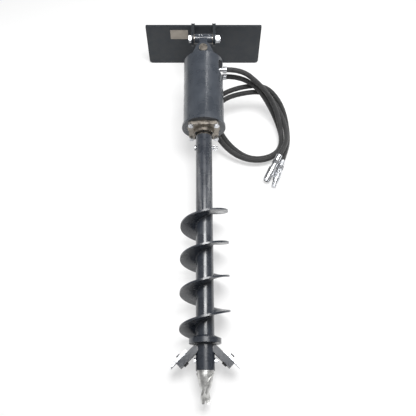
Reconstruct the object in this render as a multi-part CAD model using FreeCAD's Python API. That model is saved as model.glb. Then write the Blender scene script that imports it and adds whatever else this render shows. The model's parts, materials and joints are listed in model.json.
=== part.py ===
"""Earth auger drive on a swinging hitch, lying on the ground beside its two hoses.

Row frame: origin at the centre of the mount plate's rear face, +Z up, +Y out of
that face, -Y towards the auger's tip.  The drive and the auger are built in a
frame of their own: origin on the pitch bolt, +Z along the auger towards its tip,
+Y away from the ground, +X as in the row frame.  Millimetres throughout.
"""
import FreeCAD, Part
import math
import os

V = FreeCAD.Vector
X, Y, Z = V(1, 0, 0), V(0, 1, 0), V(0, 0, 1)

# ---- how it lies
LAY_ANGLE = 6.9             # auger axis below the horizontal, degrees
REST_SWING = 0.5            # sideways swing at rest, degrees

# ---- fits
RUNNING = 0.05              # radial clearance of a turning shaft
SEAT = 0.1                  # radial clearance of pieces fixed in each other
FACE_GAP = 0.3              # between faces that slide past each other

# ---- mount plate
PLATE_W, PLATE_H, PLATE_T = 622.0, 265.0, 12.0
PLATE_LOW_CORNER, PLATE_TOP_CORNER = 20.0, 6.0
BOLT_OVER_PLATE = 24.0      # pitch bolt above the plate's top edge
BOLT_STANDOFF = 120.0       # pitch bolt in front of the plate

# ---- hitch ears
EAR_T = 13.0
EAR_NOSE_R = 36.0
EAR_ROOT_TOP, EAR_ROOT_LOW = -5.0, -105.0   # on the plate, from the bolt's height

# ---- pitch bolt, M24
PITCH_R = 12.0
PITCH_HEAD_AF, PITCH_HEAD_H = 36.0, 13.0
PITCH_NUT_H, PITCH_WASHER_R, PITCH_WASHER_T = 19.0, 22.0, 3.0
PITCH_TAIL = 4.0

# ---- link between the ears
BARREL_R, BARREL_L = 25.0, 90.0
THRUST_T = 3.7
BUSH_R = 15.0
NECK_W, NECK_H = 40.0, 46.0
BOSS_R, BOSS_H = 31.0, 70.0
LINK_L = 98.0               # pitch bolt to swing pin
NIPPLE_R, NIPPLE_H = 3.2, 9.0
NIPPLE_X = (-21.0, -8.0, 27.0)

# ---- swing pin
SWING_R = 16.0
SWING_HEAD_R, SWING_HEAD_H = 21.5, 9.0
COLLAR_R, COLLAR_H = 24.0, 12.0
COLLAR_PIN_R = 3.0
SWING_TAIL = 6.0

# ---- hanger ears of the drive
HANGER_T, HANGER_NOSE_R, HANGER_ROOT_W = 15.0, 38.0, 128.0

# ---- hood
HOOD_R, HOOD_WALL = 97.5, 6.0
HOOD_TOP, HOOD_END = 153.0, 523.0
CAP_T = 12.0
RING_R, RING_T = 104.0, 12.0
WINDOW_W, WINDOW_L, WINDOW_CORNER = 124.0, 88.0, 30.0

# ---- motor
PORT_S, PORT_PITCH = 216.0, 56.0
MOTOR_TOP = 174.0
MOTOR_W = 108.0
COVER_H, VALVE_H, ROTOR_H, FRONT_H = 10.0, 66.0, 24.0, 52.0
VALVE_CORNER = 20.0
FOOT_R, FOOT_T = 66.0, 14.0
ROTOR_RING_R = 52.0
MOTOR_BOLT_R, MOTOR_BOLT_N, MOTOR_BOLT_AT_R = 5.0, 6, 44.0
MOTOR_BOLT_HEAD_H, MOTOR_BOLT_GRIP, MOTOR_BOLT_HOLE = 5.0, 18.0, 20.0
MOTOR_SPIGOT_R, MOTOR_SPIGOT_H = 41.0, 6.0

# ---- gear stage
MODULE, PRESSURE_ANGLE = 3.0, 25.0
SUN_TEETH, PLANET_TEETH, RING_TEETH = 12, 15, 42
PLANETS = 3
GEAR_L, ADDENDUM, DEDENDUM = 44.0, 0.9, 1.2
BACKLASH = 0.3              # taken off each tooth's thickness at the pitch circle
GEARCASE_R = 77.0
ADAPTER_T = 14.0
SUN_BORE_R = 9.0
PLANET_PIN_R = 9.0
WEB_GAP = 4.0               # carrier web to gear face
WEB_T, WEB_R = 16.0, 57.0
SUN_LEAD = 12.0             # adapter plate to gear face

# ---- output end
BEARING_R, BEARING_W = 60.0, 26.0
SHAFT_R, JOURNAL_R = 32.8, 35.0
FLANGE_W, FLANGE_T, FLANGE_CORNER = 142.0, 19.0, 12.0
FLANGE_BOLT_X = 60.0
FLANGE_BOLT_R, FLANGE_BOLT_AF, FLANGE_BOLT_H = 7.0, 22.0, 9.0
RACE_T, CAGE_SET, SPACER_T = 8.0, 3.0, 6.0
SHOULDER_T = 9.0            # stop for the bearings
SHAFT_CLEAR = 1.0           # radial room where the shaft only passes through
JOURNAL_OUT = 3.0
SEAL_CAP_R, SEAL_CAP_T = 50.0, 18.0
SEAL_R, SEAL_T = 38.5, 2.5
CAP_BOLT_N, CAP_BOLT_R, CAP_BOLT_AT_R, CAP_BOLT_GRIP = 6, 3.0, 44.0, 8.0
CAP_BOLT_HEAD_R, CAP_BOLT_HEAD_H = 5.0, 6.0

# ---- auger
TUBE_R, TUBE_WALL = 38.0, 5.0
TUBE_TOP, TUBE_END = 583.0, 1644.5
SHAFT_INSERT = 100.0
CROSS_PIN_S, CROSS_PIN_R = 641.0, 8.0
CROSS_PIN_HEAD_R, CROSS_PIN_HEAD_T, CROSS_PIN_TAIL = 13.0, 6.0, 14.0
LYNCH_R, LYNCH_RING_R, LYNCH_RING_OUT, LYNCH_WIRE_R = 3.0, 12.0, 7.0, 2.0
FLIGHT_R, FLIGHT_T, FLIGHT_PITCH = 106.5, 8.0, 148.7
FLIGHT_TOP = 921.0
FLIGHT_AT_X = 958.0         # where the flight's edge points along +X

# ---- cutting head
CUTTER_TOP, CUTTER_RIM_TOP, CUTTER_END = 1508.0, 1520.0, 1540.0
CUTTER_R = 66.0
ARM_ANGLE = 44.0            # arm below the plane across the auger
ARM_T, ARM_W, ARM_ROOT, ARM_TIP = 28.0, 46.0, 42.0, 148.0
TOOTH_T, TOOTH_W, TOOTH_BACK, TOOTH_REACH = 12.0, 40.0, 62.0, 30.0
TOOTH_CHISEL = 22.0
TOOTH_BOLT_R, TOOTH_BOLT_AF, TOOTH_BOLT_H = 6.0, 18.0, 7.0

# ---- pilot bit
BIT_SHANK = 84.0
BIT_BOLT_S, BIT_BOLT_R, BIT_BOLT_AF, BIT_BOLT_H, BIT_NUT_H = 1606.0, 6.0, 19.0, 7.5, 10.0
BIT_COLLAR_R, BIT_COLLAR_T = 35.0, 5.0
BIT_LENGTH = 125.0
BIT_TWIST = 150.0
BIT_BLADE_T = 11.0
BIT_NOTCH_W, BIT_NOTCH_H = 12.0, 18.0

# ---- hoses
HOSE_R = 12.8
ADAPTER_HEX_AF, ADAPTER_HEX_T, ADAPTER_R, ADAPTER_NECK_R = 32.0, 12.0, 12.0, 9.0
PORT_DEPTH = 10.0           # adapter screwed this far into the housing
FERRULE_R, FERRULE_L = 15.0, 20.0
FERRULE_START = 96.0        # drive-end ferrule from the drive's axis

HOSE_ARC_SHARE = 0.45       # of the shorter run beside each bend, taken by its arc
HOSE_LEAD = 35.0            # straight out of the ferrule
HOSE_A_ROUTE = (
    (212, -354, 142), (260, -368, 106), (309, -389, 64), (349, -414, 18), (380, -453, -32),
    (397, -503, -72), (405, -558, -90), (402, -615, -92), (386, -663, -93), (352, -700, -93),
    (309, -718, -93), (262, -723, -92), (214, -716, -89), (168, -700, -80), (125, -672, -67),
    (88, -634, -50), (58, -588, -34), (38, -536, -20), (31, -484, -8), (42, -436, 4),
    (76, -400, 16), (124, -378, 32), (180, -360, 39), (236, -350, 43), (290, -343, 38),
    (340, -348, 18), (382, -368, -20), (414, -403, -56), (434, -448, -92), (442, -503, -115),
    (442, -560, -118), (436, -606, -112), (426, -643, -100))
HOSE_B_ROUTE = (
    (212, -350, 90), (262, -366, 64), (304, -391, 28), (338, -414, -20), (370, -445, -68),
    (395, -486, -106), (408, -538, -118), (406, -593, -118), (389, -641, -118), (354, -673, -118),
    (310, -690, -118), (264, -694, -118), (218, -684, -114), (174, -661, -102), (133, -629, -84),
    (98, -588, -64), (72, -541, -46), (60, -497, -32), (64, -460, -18), (82, -430, -4),
    (111, -409, 10), (152, -392, 16), (199, -379, 18), (248, -369, 18), (298, -365, 15),
    (342, -374, -8), (377, -401, -36), (402, -441, -62), (422, -490, -80), (430, -540, -84),
    (428, -588, -74), (420, -632, -60))
COUPLER_LEAD = 38.0         # straight into each coupler's ferrule
MALE_AT, MALE_END = (401, -716, -100), (349, -862, -118)
FEMALE_AT, FEMALE_END = (384, -705, -68), (311, -833, -112)
COUPLER_FERRULE_L = 34.0
COUPLER_HEX_AF, COUPLER_HEX_T = 32.0, 18.0
SOCKET_R, SOCKET_L, SOCKET_BORE_R, SOCKET_BORE_L = 13.5, 152.0, 10.5, 36.0
SLEEVE_R, SLEEVE_L, SLEEVE_LIP, SLEEVE_TRAVEL = 18.0, 74.0, 3.0, 8.0
MALE_WAIST_R, MALE_BELLY_R, MALE_NOSE_R, MALE_L = 13.0, 17.5, 11.8, 155.0

# worked out from the sizes above
HITCH_AT = V(0, -PLATE_T - BOLT_STANDOFF, PLATE_H / 2 + BOLT_OVER_PLATE)
GROUND = -PLATE_H / 2
TUBE_BORE_R = TUBE_R - TUBE_WALL
EAR_GAP = BARREL_L + 2 * (THRUST_T + FACE_GAP)
EAR_OUT = EAR_GAP / 2 + EAR_T
HANGER_IN = BOSS_H / 2 + FACE_GAP
HANGER_OUT = HANGER_IN + HANGER_T
GEARBOX_TOP = MOTOR_TOP + COVER_H + VALVE_H + ROTOR_H + FRONT_H
FLANGE_TOP = HOOD_END + RING_T
FLANGE_END = FLANGE_TOP + FLANGE_T
SEAL_CAP_END = FLANGE_END + SEAL_CAP_T
CENTRES = MODULE * (SUN_TEETH + PLANET_TEETH) / 2


def cylinder(radius, start, end, x=0.0, y=0.0):
    """Cylinder along +Z from start to end."""
    return Part.makeCylinder(radius, end - start, V(x, y, start), Z)


def tube(outer, inner, start, end, x=0.0, y=0.0):
    return cylinder(outer, start, end, x, y).cut(cylinder(inner, start, end, x, y))


def rod(radius, length, start, direction):
    return Part.makeCylinder(radius, length, start, direction)


def ring_on(outer, inner, length, start, direction):
    return rod(outer, length, start, direction).cut(rod(inner, length, start, direction))


def hexagon(across_flats, length, start, direction):
    """Hexagonal prism from start along direction."""
    corner = across_flats / math.sqrt(3)
    points = [V(corner * math.cos(math.radians(60 * k)), corner * math.sin(math.radians(60 * k)), 0)
              for k in range(7)]
    prism = Part.Face(Part.makePolygon(points)).extrude(V(0, 0, length))
    prism.Placement = FreeCAD.Placement(start, FreeCAD.Rotation(Z, direction))
    return prism


def plate_outline(points, thickness, direction):
    """Flat plate from a closed outline, pushed along direction."""
    return Part.Face(Part.makePolygon(points + [points[0]])).extrude(direction * thickness)


def turned(profile, start=0.0, end=360.0):
    """Solid of revolution about Z from (radius, height) corners."""
    points = [V(r, 0, z) for r, z in profile]
    face = Part.Face(Part.makePolygon(points + [points[0]]))
    return face.revolve(V(0, 0, 0), Z, end - start)


def ring_of(make_one, count, first=0.0):
    """Copies of one solid spaced evenly about Z."""
    copies = []
    for k in range(count):
        one = make_one.copy()
        one.rotate(V(0, 0, 0), Z, first + 360.0 * k / count)
        copies.append(one)
    return copies


def fuse(first, *others):
    return first.fuse(list(others)).removeSplitter()


# ---- frame body: plate, ears, pitch bolt (row frame)

def mount_plate():
    body = Part.makeBox(PLATE_W, PLATE_T, PLATE_H, V(-PLATE_W / 2, -PLATE_T, -PLATE_H / 2))
    low = [e for e in body.Edges if is_corner(e, -1)]
    body = body.makeFillet(PLATE_LOW_CORNER, low)
    top = [e for e in body.Edges if is_corner(e, 1)]
    return body.makeFillet(PLATE_TOP_CORNER, top)


def is_corner(edge, side):
    """True for the plate's corner edges across its thickness, side -1 low, 1 top."""
    middle = edge.CenterOfMass
    across = abs(edge.Length - PLATE_T) < 1e-6
    return across and abs(middle.z - side * PLATE_H / 2) < 1e-6


def hitch_ear(side):
    """Ear profile: a nose round the bolt, tangent lines back to the plate."""
    root_top = V(0, BOLT_STANDOFF, EAR_ROOT_TOP)
    root_low = V(0, BOLT_STANDOFF, EAR_ROOT_LOW)
    upper = tangent_point(root_top, EAR_NOSE_R, 1)
    lower = tangent_point(root_low, EAR_NOSE_R, -1)
    edges = [Part.LineSegment(root_low, root_top).toShape(),
             Part.LineSegment(root_top, upper).toShape(),
             Part.Arc(upper, V(0, -EAR_NOSE_R, 0), lower).toShape(),
             Part.LineSegment(lower, root_low).toShape()]
    ear = Part.Face(Part.Wire(edges)).extrude(X * EAR_T)
    ear.translate(V(side * (EAR_GAP + EAR_T) / 2 - EAR_T / 2, 0, 0))
    ear = ear.cut(rod(PITCH_R + SEAT, 2 * EAR_OUT, V(-EAR_OUT, 0, 0), X))
    ear.translate(HITCH_AT)
    return ear


def tangent_point(outside, radius, side):
    """Where a line from a point touches the circle of that radius round the origin (YZ)."""
    distance = math.hypot(outside.y, outside.z)
    base = math.atan2(outside.z, outside.y)
    angle = base + side * math.acos(radius / distance)
    return V(0, radius * math.cos(angle), radius * math.sin(angle))


def pitch_bolt():
    length = 2 * EAR_OUT + PITCH_WASHER_T + PITCH_NUT_H + PITCH_TAIL
    shank = rod(PITCH_R, length, V(-EAR_OUT, 0, 0), X)
    head = hexagon(PITCH_HEAD_AF, PITCH_HEAD_H, V(-EAR_OUT, 0, 0), -X)
    bolt = fuse(shank, head)
    bolt.translate(HITCH_AT)
    return bolt


def pitch_nut():
    washer = ring_on(PITCH_WASHER_R, PITCH_R + SEAT, PITCH_WASHER_T, V(EAR_OUT, 0, 0), X)
    seat = V(EAR_OUT + PITCH_WASHER_T, 0, 0)
    nut = hexagon(PITCH_HEAD_AF, PITCH_NUT_H, seat, X).cut(rod(PITCH_R, PITCH_NUT_H, seat, X))
    group = Part.makeCompound([washer, nut])
    group.translate(HITCH_AT)
    return group


# ---- link body (drive frame before the swing)

def link():
    barrel = rod(BARREL_R, BARREL_L, V(-BARREL_L / 2, 0, 0), X)
    boss = rod(BOSS_R, BOSS_H, V(0, -BOSS_H / 2, LINK_L), Y)
    neck = Part.makeBox(NECK_W, NECK_H, LINK_L, V(-NECK_W / 2, -NECK_H / 2, 0))
    body = fuse(barrel, boss, neck)
    body = body.cut(rod(BUSH_R + SEAT, BARREL_L, V(-BARREL_L / 2, 0, 0), X))
    body = body.cut(rod(SWING_R + RUNNING, BOSS_H, V(0, -BOSS_H / 2, LINK_L), Y))
    for x in NIPPLE_X:
        body = body.cut(rod(NIPPLE_R, BARREL_R, V(x, 0, 0), Y))
    return body


def link_bush():
    start = V(-BARREL_L / 2, 0, 0)
    return ring_on(BUSH_R, PITCH_R + RUNNING, BARREL_L, start, X)


def thrust_washers():
    left = ring_on(BARREL_R, PITCH_R + RUNNING, THRUST_T, V(-BARREL_L / 2, 0, 0), -X)
    right = ring_on(BARREL_R, PITCH_R + RUNNING, THRUST_T, V(BARREL_L / 2, 0, 0), X)
    return Part.makeCompound([left, right])


def grease_nipples():
    made = []
    for x in NIPPLE_X:
        stem = rod(NIPPLE_R - SEAT, NIPPLE_H, V(x, BARREL_R - 4, 0), Y)
        ball = Part.makeSphere(NIPPLE_R, V(x, BARREL_R + NIPPLE_H - 5, 0))
        made.append(fuse(stem, ball))
    return Part.makeCompound(made)


# ---- drive body: hanger, pin, hood, motor, gearcase (drive frame)

def hanger_ear(side):
    """Tapered ear with a round nose about the swing pin, standing on the hood's cap."""
    root = [V(-HANGER_ROOT_W / 2, 0, HOOD_TOP), V(HANGER_ROOT_W / 2, 0, HOOD_TOP)]
    reach = HOOD_TOP - LINK_L
    distance = math.hypot(HANGER_ROOT_W / 2, reach)
    angle = math.atan2(reach, HANGER_ROOT_W / 2) - math.acos(HANGER_NOSE_R / distance)
    touch = V(HANGER_NOSE_R * math.cos(angle), 0, LINK_L + HANGER_NOSE_R * math.sin(angle))
    other = V(-touch.x, 0, touch.z)
    nose = V(0, 0, LINK_L - HANGER_NOSE_R)
    edges = [Part.LineSegment(root[0], root[1]).toShape(), Part.LineSegment(root[1], touch).toShape(),
             Part.Arc(touch, nose, other).toShape(), Part.LineSegment(other, root[0]).toShape()]
    ear = Part.Face(Part.Wire(edges)).extrude(Y * HANGER_T)
    ear.translate(Y * (HANGER_IN if side > 0 else -HANGER_OUT))
    return ear.cut(rod(SWING_R + SEAT, 2 * HANGER_OUT, V(0, -HANGER_OUT, LINK_L), Y))


def swing_pin():
    length = 2 * HANGER_OUT + COLLAR_H + SWING_TAIL
    shank = rod(SWING_R, length, V(0, HANGER_OUT, LINK_L), -Y)
    head = rod(SWING_HEAD_R, SWING_HEAD_H, V(0, HANGER_OUT, LINK_L), Y)
    pin = fuse(shank, head)
    edge = [e for e in pin.Edges if abs(e.CenterOfMass.y - HANGER_OUT - SWING_HEAD_H) < 1e-3]
    pin = pin.makeChamfer(1.5, edge)
    return pin.cut(collar_pin_hole(COLLAR_PIN_R))


def collar_pin_hole(radius):
    across = COLLAR_R + 1.0
    middle = -HANGER_OUT - COLLAR_H / 2
    return rod(radius, 2 * across, V(-across, middle, LINK_L), X)


def swing_collar():
    start = V(0, -HANGER_OUT, LINK_L)
    collar = ring_on(COLLAR_R, SWING_R + SEAT, COLLAR_H, start, -Y)
    return collar.cut(collar_pin_hole(COLLAR_PIN_R))


def swing_collar_pin():
    return collar_pin_hole(COLLAR_PIN_R - SEAT)


def hood_cap():
    return cylinder(HOOD_R - HOOD_WALL - SEAT, HOOD_TOP, HOOD_TOP + CAP_T)


def hood_tube():
    shell = tube(HOOD_R, HOOD_R - HOOD_WALL, HOOD_TOP, HOOD_END)
    cutter = Part.makeBox(HOOD_R, WINDOW_W, WINDOW_L, V(0, -WINDOW_W / 2, HOOD_TOP + CAP_T))
    corners = [e for e in cutter.Edges if abs(e.Length - HOOD_R) < 1e-6]
    return shell.cut(cutter.makeFillet(WINDOW_CORNER, corners))


def base_ring():
    ring = tube(RING_R, GEARCASE_R + SEAT, HOOD_END, HOOD_END + RING_T)
    for one in flange_bolt_axes():
        ring = ring.cut(cylinder(FLANGE_BOLT_R, HOOD_END, FLANGE_TOP, one[0], one[1]))
    return ring


def flange_bolt_axes():
    return [(sx * FLANGE_BOLT_X, sy * FLANGE_BOLT_X) for sx in (-1, 1) for sy in (-1, 1)]


def motor_bolt_holes(start, end, radius):
    one = cylinder(radius, start, end, MOTOR_BOLT_AT_R, 0)
    return Part.makeCompound(ring_of(one, MOTOR_BOLT_N, 30.0))


def motor_cover():
    cover = cylinder(ROTOR_RING_R, MOTOR_TOP, MOTOR_TOP + COVER_H)
    return cover.cut(motor_bolt_holes(MOTOR_TOP, MOTOR_TOP + COVER_H, MOTOR_BOLT_R + SEAT))


def valve_housing():
    """Square housing with the two ports in its +X face."""
    start = MOTOR_TOP + COVER_H
    body = Part.makeBox(MOTOR_W, MOTOR_W, VALVE_H, V(-MOTOR_W / 2, -MOTOR_W / 2, start))
    upright = [e for e in body.Edges if abs(e.Length - VALVE_H) < 1e-6]
    body = body.makeFillet(VALVE_CORNER, upright)
    body = body.cut(motor_bolt_holes(start, start + VALVE_H, MOTOR_BOLT_R + SEAT))
    for y in port_heights():
        body = body.cut(rod(ADAPTER_R + SEAT, PORT_DEPTH, V(MOTOR_W / 2 - PORT_DEPTH, y, PORT_S), X))
    return body


def port_heights():
    return (PORT_PITCH / 2, -PORT_PITCH / 2)


def rotor_ring():
    start = MOTOR_TOP + COVER_H + VALVE_H
    body = cylinder(ROTOR_RING_R, start, start + ROTOR_H)
    return body.cut(motor_bolt_holes(start, start + ROTOR_H, MOTOR_BOLT_R + SEAT))


def front_housing():
    start = GEARBOX_TOP - FRONT_H
    body = cylinder(ROTOR_RING_R, start, GEARBOX_TOP - FOOT_T)
    foot = cylinder(FOOT_R, GEARBOX_TOP - FOOT_T, GEARBOX_TOP)
    spigot = cylinder(MOTOR_SPIGOT_R, GEARBOX_TOP, GEARBOX_TOP + MOTOR_SPIGOT_H)
    body = fuse(body, foot, spigot)
    body = body.cut(cylinder(SUN_BORE_R + RUNNING, start, GEARBOX_TOP + MOTOR_SPIGOT_H))
    return body.cut(motor_bolt_holes(start, start + MOTOR_BOLT_HOLE, MOTOR_BOLT_R + SEAT))


def motor_bolts():
    reach = COVER_H + VALVE_H + ROTOR_H + MOTOR_BOLT_GRIP
    shank = cylinder(MOTOR_BOLT_R, MOTOR_TOP, MOTOR_TOP + reach, MOTOR_BOLT_AT_R, 0)
    head = hexagon(2.6 * MOTOR_BOLT_R, MOTOR_BOLT_HEAD_H, V(MOTOR_BOLT_AT_R, 0, MOTOR_TOP), -Z)
    return Part.makeCompound(ring_of(fuse(shank, head), MOTOR_BOLT_N, 30.0))


def port_adapters():
    made = []
    for y in port_heights():
        start = V(MOTOR_W / 2, y, PORT_S)
        stub = rod(ADAPTER_R, PORT_DEPTH, start - X * PORT_DEPTH, X)
        nut = hexagon(ADAPTER_HEX_AF, ADAPTER_HEX_T, start, X)
        neck = rod(ADAPTER_NECK_R, FERRULE_START - MOTOR_W / 2, start, X)
        made.append(fuse(stub, nut, neck))
    return Part.makeCompound(made)


def drive_ferrules():
    made = []
    for y in port_heights():
        body = rod(FERRULE_R, FERRULE_L, V(FERRULE_START, y, PORT_S), X)
        rims = [e for e in body.Edges if e.Curve.TypeId == "Part::GeomCircle"]
        made.append(body.makeFillet(2.0, rims))
    return Part.makeCompound(made)


# ---- gear stage

def involute(base, radius):
    """Polar angle of the involute from its base circle, radians."""
    if radius <= base:
        return 0.0
    pressure = math.acos(base / radius)
    return math.tan(pressure) - pressure


def gear_face(teeth, inner, outer, thinning):
    """Gear outline: involute flanks as arcs through three points, arcs across tips and roots."""
    pitch_r = MODULE * teeth / 2
    base = pitch_r * math.cos(math.radians(PRESSURE_ANGLE))
    half = math.pi / (2 * teeth) - thinning / (2 * pitch_r)
    offset = half + involute(base, pitch_r)
    start = max(inner, base)
    radii = (start, (start + outer) / 2, outer)
    flank = [(r, offset - involute(base, r)) for r in radii]
    edges = []
    step = 2 * math.pi / teeth
    for k in range(teeth):
        middle = k * step
        right = [polar(r, middle - a) for r, a in flank]
        left = [polar(r, middle + a) for r, a in flank]
        if start > inner:
            edges.append(Part.LineSegment(polar(inner, middle - offset), right[0]).toShape())
        edges.append(Part.Arc(right[0], right[1], right[2]).toShape())
        edges.append(Part.Arc(right[2], polar(outer, middle), left[2]).toShape())
        edges.append(Part.Arc(left[2], left[1], left[0]).toShape())
        if start > inner:
            edges.append(Part.LineSegment(left[0], polar(inner, middle + offset)).toShape())
        foot = flank[0][1] if start == inner else offset
        root_from, root_to = middle + foot, middle + step - foot
        edges.append(Part.Arc(polar(inner, root_from), polar(inner, (root_from + root_to) / 2),
                              polar(inner, root_to)).toShape())
    return Part.Face(Part.Wire(edges))


def polar(radius, angle):
    return V(radius * math.cos(angle), radius * math.sin(angle), 0)


def gear(teeth, start):
    pitch_r = MODULE * teeth / 2
    face = gear_face(teeth, pitch_r - DEDENDUM * MODULE, pitch_r + ADDENDUM * MODULE, BACKLASH)
    face.translate(Z * start)
    return face.extrude(Z * GEAR_L)


def gear_start():
    return GEARBOX_TOP + ADAPTER_T + SUN_LEAD


def ring_gear():
    """Gearcase with the internal gear: the gap between teeth is a thickened external tooth."""
    start = GEARBOX_TOP + ADAPTER_T
    end = gear_start() + GEAR_L
    pitch_r = MODULE * RING_TEETH / 2
    outer = pitch_r + DEDENDUM * MODULE
    inner = pitch_r - ADDENDUM * MODULE
    face = gear_face(RING_TEETH, inner, outer, -BACKLASH)
    face.rotate(V(0, 0, 0), Z, 180.0 / RING_TEETH)
    face.translate(Z * start)
    case = cylinder(GEARCASE_R, start, end)
    return case.cut(face.extrude(Z * (end - start)))


def gearbox_adapter():
    body = cylinder(GEARCASE_R, GEARBOX_TOP, GEARBOX_TOP + ADAPTER_T)
    body = body.cut(cylinder(MOTOR_SPIGOT_R + SEAT, GEARBOX_TOP, GEARBOX_TOP + MOTOR_SPIGOT_H))
    return body.cut(cylinder(SUN_BORE_R + FACE_GAP, GEARBOX_TOP, GEARBOX_TOP + ADAPTER_T))


def sun_shaft():
    start = gear_start()
    shaft = cylinder(SUN_BORE_R, GEARBOX_TOP - FRONT_H, start)
    return fuse(gear(SUN_TEETH, start), shaft)


def planet_angle(k):
    return 90.0 + 360.0 * k / PLANETS


def planet_gear(k):
    """Planet k at its place, turned so that its teeth mesh with sun and ring gear."""
    angle = planet_angle(k)
    body = gear(PLANET_TEETH, gear_start())
    body = body.cut(cylinder(PLANET_PIN_R + RUNNING, gear_start(), gear_start() + GEAR_L))
    body.rotate(V(0, 0, 0), Z, planet_turn(angle))
    body.translate(polar(CENTRES, math.radians(angle)))
    return body


def planet_turn(angle):
    """Turn that puts a planet's tooth gap on the sun tooth found at that angle."""
    sun_phase = angle * SUN_TEETH / 360.0
    facing = angle + 180.0
    gap = 180.0 / PLANET_TEETH
    return facing + gap + (sun_phase - math.floor(sun_phase)) * 360.0 / PLANET_TEETH


def planet_pins():
    start = gear_start() - WEB_GAP
    end = gear_start() + GEAR_L + WEB_GAP + WEB_T
    made = []
    for k in range(PLANETS):
        at = polar(CENTRES, math.radians(planet_angle(k)))
        made.append(cylinder(PLANET_PIN_R, start, end, at.x, at.y))
    return Part.makeCompound(made)


def carrier_shaft():
    """Planet carrier with the output shaft that the auger is pinned to."""
    web = gear_start() + GEAR_L + WEB_GAP
    plate = cylinder(WEB_R, web, web + WEB_T)
    journal = cylinder(JOURNAL_R, web + WEB_T, SEAL_CAP_END + JOURNAL_OUT)
    shaft = cylinder(SHAFT_R, SEAL_CAP_END + JOURNAL_OUT, TUBE_TOP + SHAFT_INSERT)
    body = fuse(plate, journal, shaft)
    for k in range(PLANETS):
        at = polar(CENTRES, math.radians(planet_angle(k)))
        body = body.cut(cylinder(PLANET_PIN_R + SEAT, web, web + WEB_T, at.x, at.y))
    return body.cut(rod(CROSS_PIN_R + SEAT, 2 * TUBE_R, V(-TUBE_R, 0, CROSS_PIN_S), X))


def bearing_start():
    return gear_start() + GEAR_L + WEB_GAP + WEB_T + WEB_GAP


def bearing_housing():
    """Lower gearcase with its square flange; the bearings stop at a shoulder near its end."""
    start = gear_start() + GEAR_L
    body = cylinder(GEARCASE_R, start, FLANGE_TOP)
    flange = Part.makeBox(FLANGE_W, FLANGE_W, FLANGE_T, V(-FLANGE_W / 2, -FLANGE_W / 2, FLANGE_TOP))
    upright = [e for e in flange.Edges if abs(e.Length - FLANGE_T) < 1e-6]
    flange = flange.makeChamfer(FLANGE_CORNER, upright)
    body = fuse(body, flange)
    body = body.cut(cylinder(MODULE * RING_TEETH / 2, start, bearing_start()))
    body = body.cut(cylinder(BEARING_R + SEAT, bearing_start(), FLANGE_END - SHOULDER_T))
    body = body.cut(cylinder(JOURNAL_R + SHAFT_CLEAR, FLANGE_END - SHOULDER_T, FLANGE_END))
    for x, y in flange_bolt_axes():
        body = body.cut(cylinder(FLANGE_BOLT_R + SEAT, FLANGE_TOP, FLANGE_END, x, y))
    return body.cut(cap_bolt_holes(FLANGE_END - CAP_BOLT_GRIP, FLANGE_END))


def bearing(start):
    inner = tube(JOURNAL_R + RACE_T, JOURNAL_R + RUNNING, start, start + BEARING_W)
    outer = tube(BEARING_R, BEARING_R - RACE_T, start, start + BEARING_W)
    cage = tube(BEARING_R - RACE_T, JOURNAL_R + RACE_T, start + CAGE_SET, start + BEARING_W - CAGE_SET)
    return fuse(inner, outer, cage)


def second_bearing_start():
    return FLANGE_END - SHOULDER_T - BEARING_W


def output_bearings():
    return Part.makeCompound([bearing(bearing_start()), bearing(second_bearing_start())])


def bearing_spacer():
    return tube(BEARING_R, BEARING_R - SPACER_T, bearing_start() + BEARING_W, second_bearing_start())


def flange_bolts():
    made = []
    for x, y in flange_bolt_axes():
        shank = cylinder(FLANGE_BOLT_R, HOOD_END, FLANGE_END, x, y)
        head = hexagon(FLANGE_BOLT_AF, FLANGE_BOLT_H, V(x, y, FLANGE_END), Z)
        made.append(fuse(shank, head))
    return Part.makeCompound(made)


def cap_bolt_holes(start, end):
    one = cylinder(CAP_BOLT_R + SEAT, start, end, CAP_BOLT_AT_R, 0)
    return Part.makeCompound(ring_of(one, CAP_BOLT_N, 30.0))


def cap_bolts():
    """Socket-head screws holding the seal cap."""
    end = SEAL_CAP_END + CAP_BOLT_HEAD_H
    shank = cylinder(CAP_BOLT_R, FLANGE_END - CAP_BOLT_GRIP, SEAL_CAP_END, CAP_BOLT_AT_R, 0)
    head = cylinder(CAP_BOLT_HEAD_R, SEAL_CAP_END, end, CAP_BOLT_AT_R, 0)
    socket = hexagon(CAP_BOLT_R * 1.6, CAP_BOLT_HEAD_H, V(CAP_BOLT_AT_R, 0, end - 0.6 * CAP_BOLT_HEAD_H), Z)
    return Part.makeCompound(ring_of(fuse(shank, head).cut(socket), CAP_BOLT_N, 30.0))


def seal_cap():
    body = tube(SEAL_CAP_R, JOURNAL_R + SHAFT_CLEAR, FLANGE_END, SEAL_CAP_END)
    return body.cut(cap_bolt_holes(FLANGE_END, SEAL_CAP_END))


def shaft_seal():
    return tube(SEAL_R, JOURNAL_R + RUNNING, SEAL_CAP_END, SEAL_CAP_END + SEAL_T)


# ---- auger body (drive frame)

def auger_tube():
    body = tube(TUBE_R, TUBE_BORE_R, TUBE_TOP, TUBE_END)
    body = body.cut(rod(CROSS_PIN_R + SEAT, 2 * TUBE_R, V(-TUBE_R, 0, CROSS_PIN_S), X))
    return body.cut(rod(BIT_BOLT_R + SEAT, 2 * TUBE_R, V(-TUBE_R, 0, BIT_BOLT_S), X))


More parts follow.
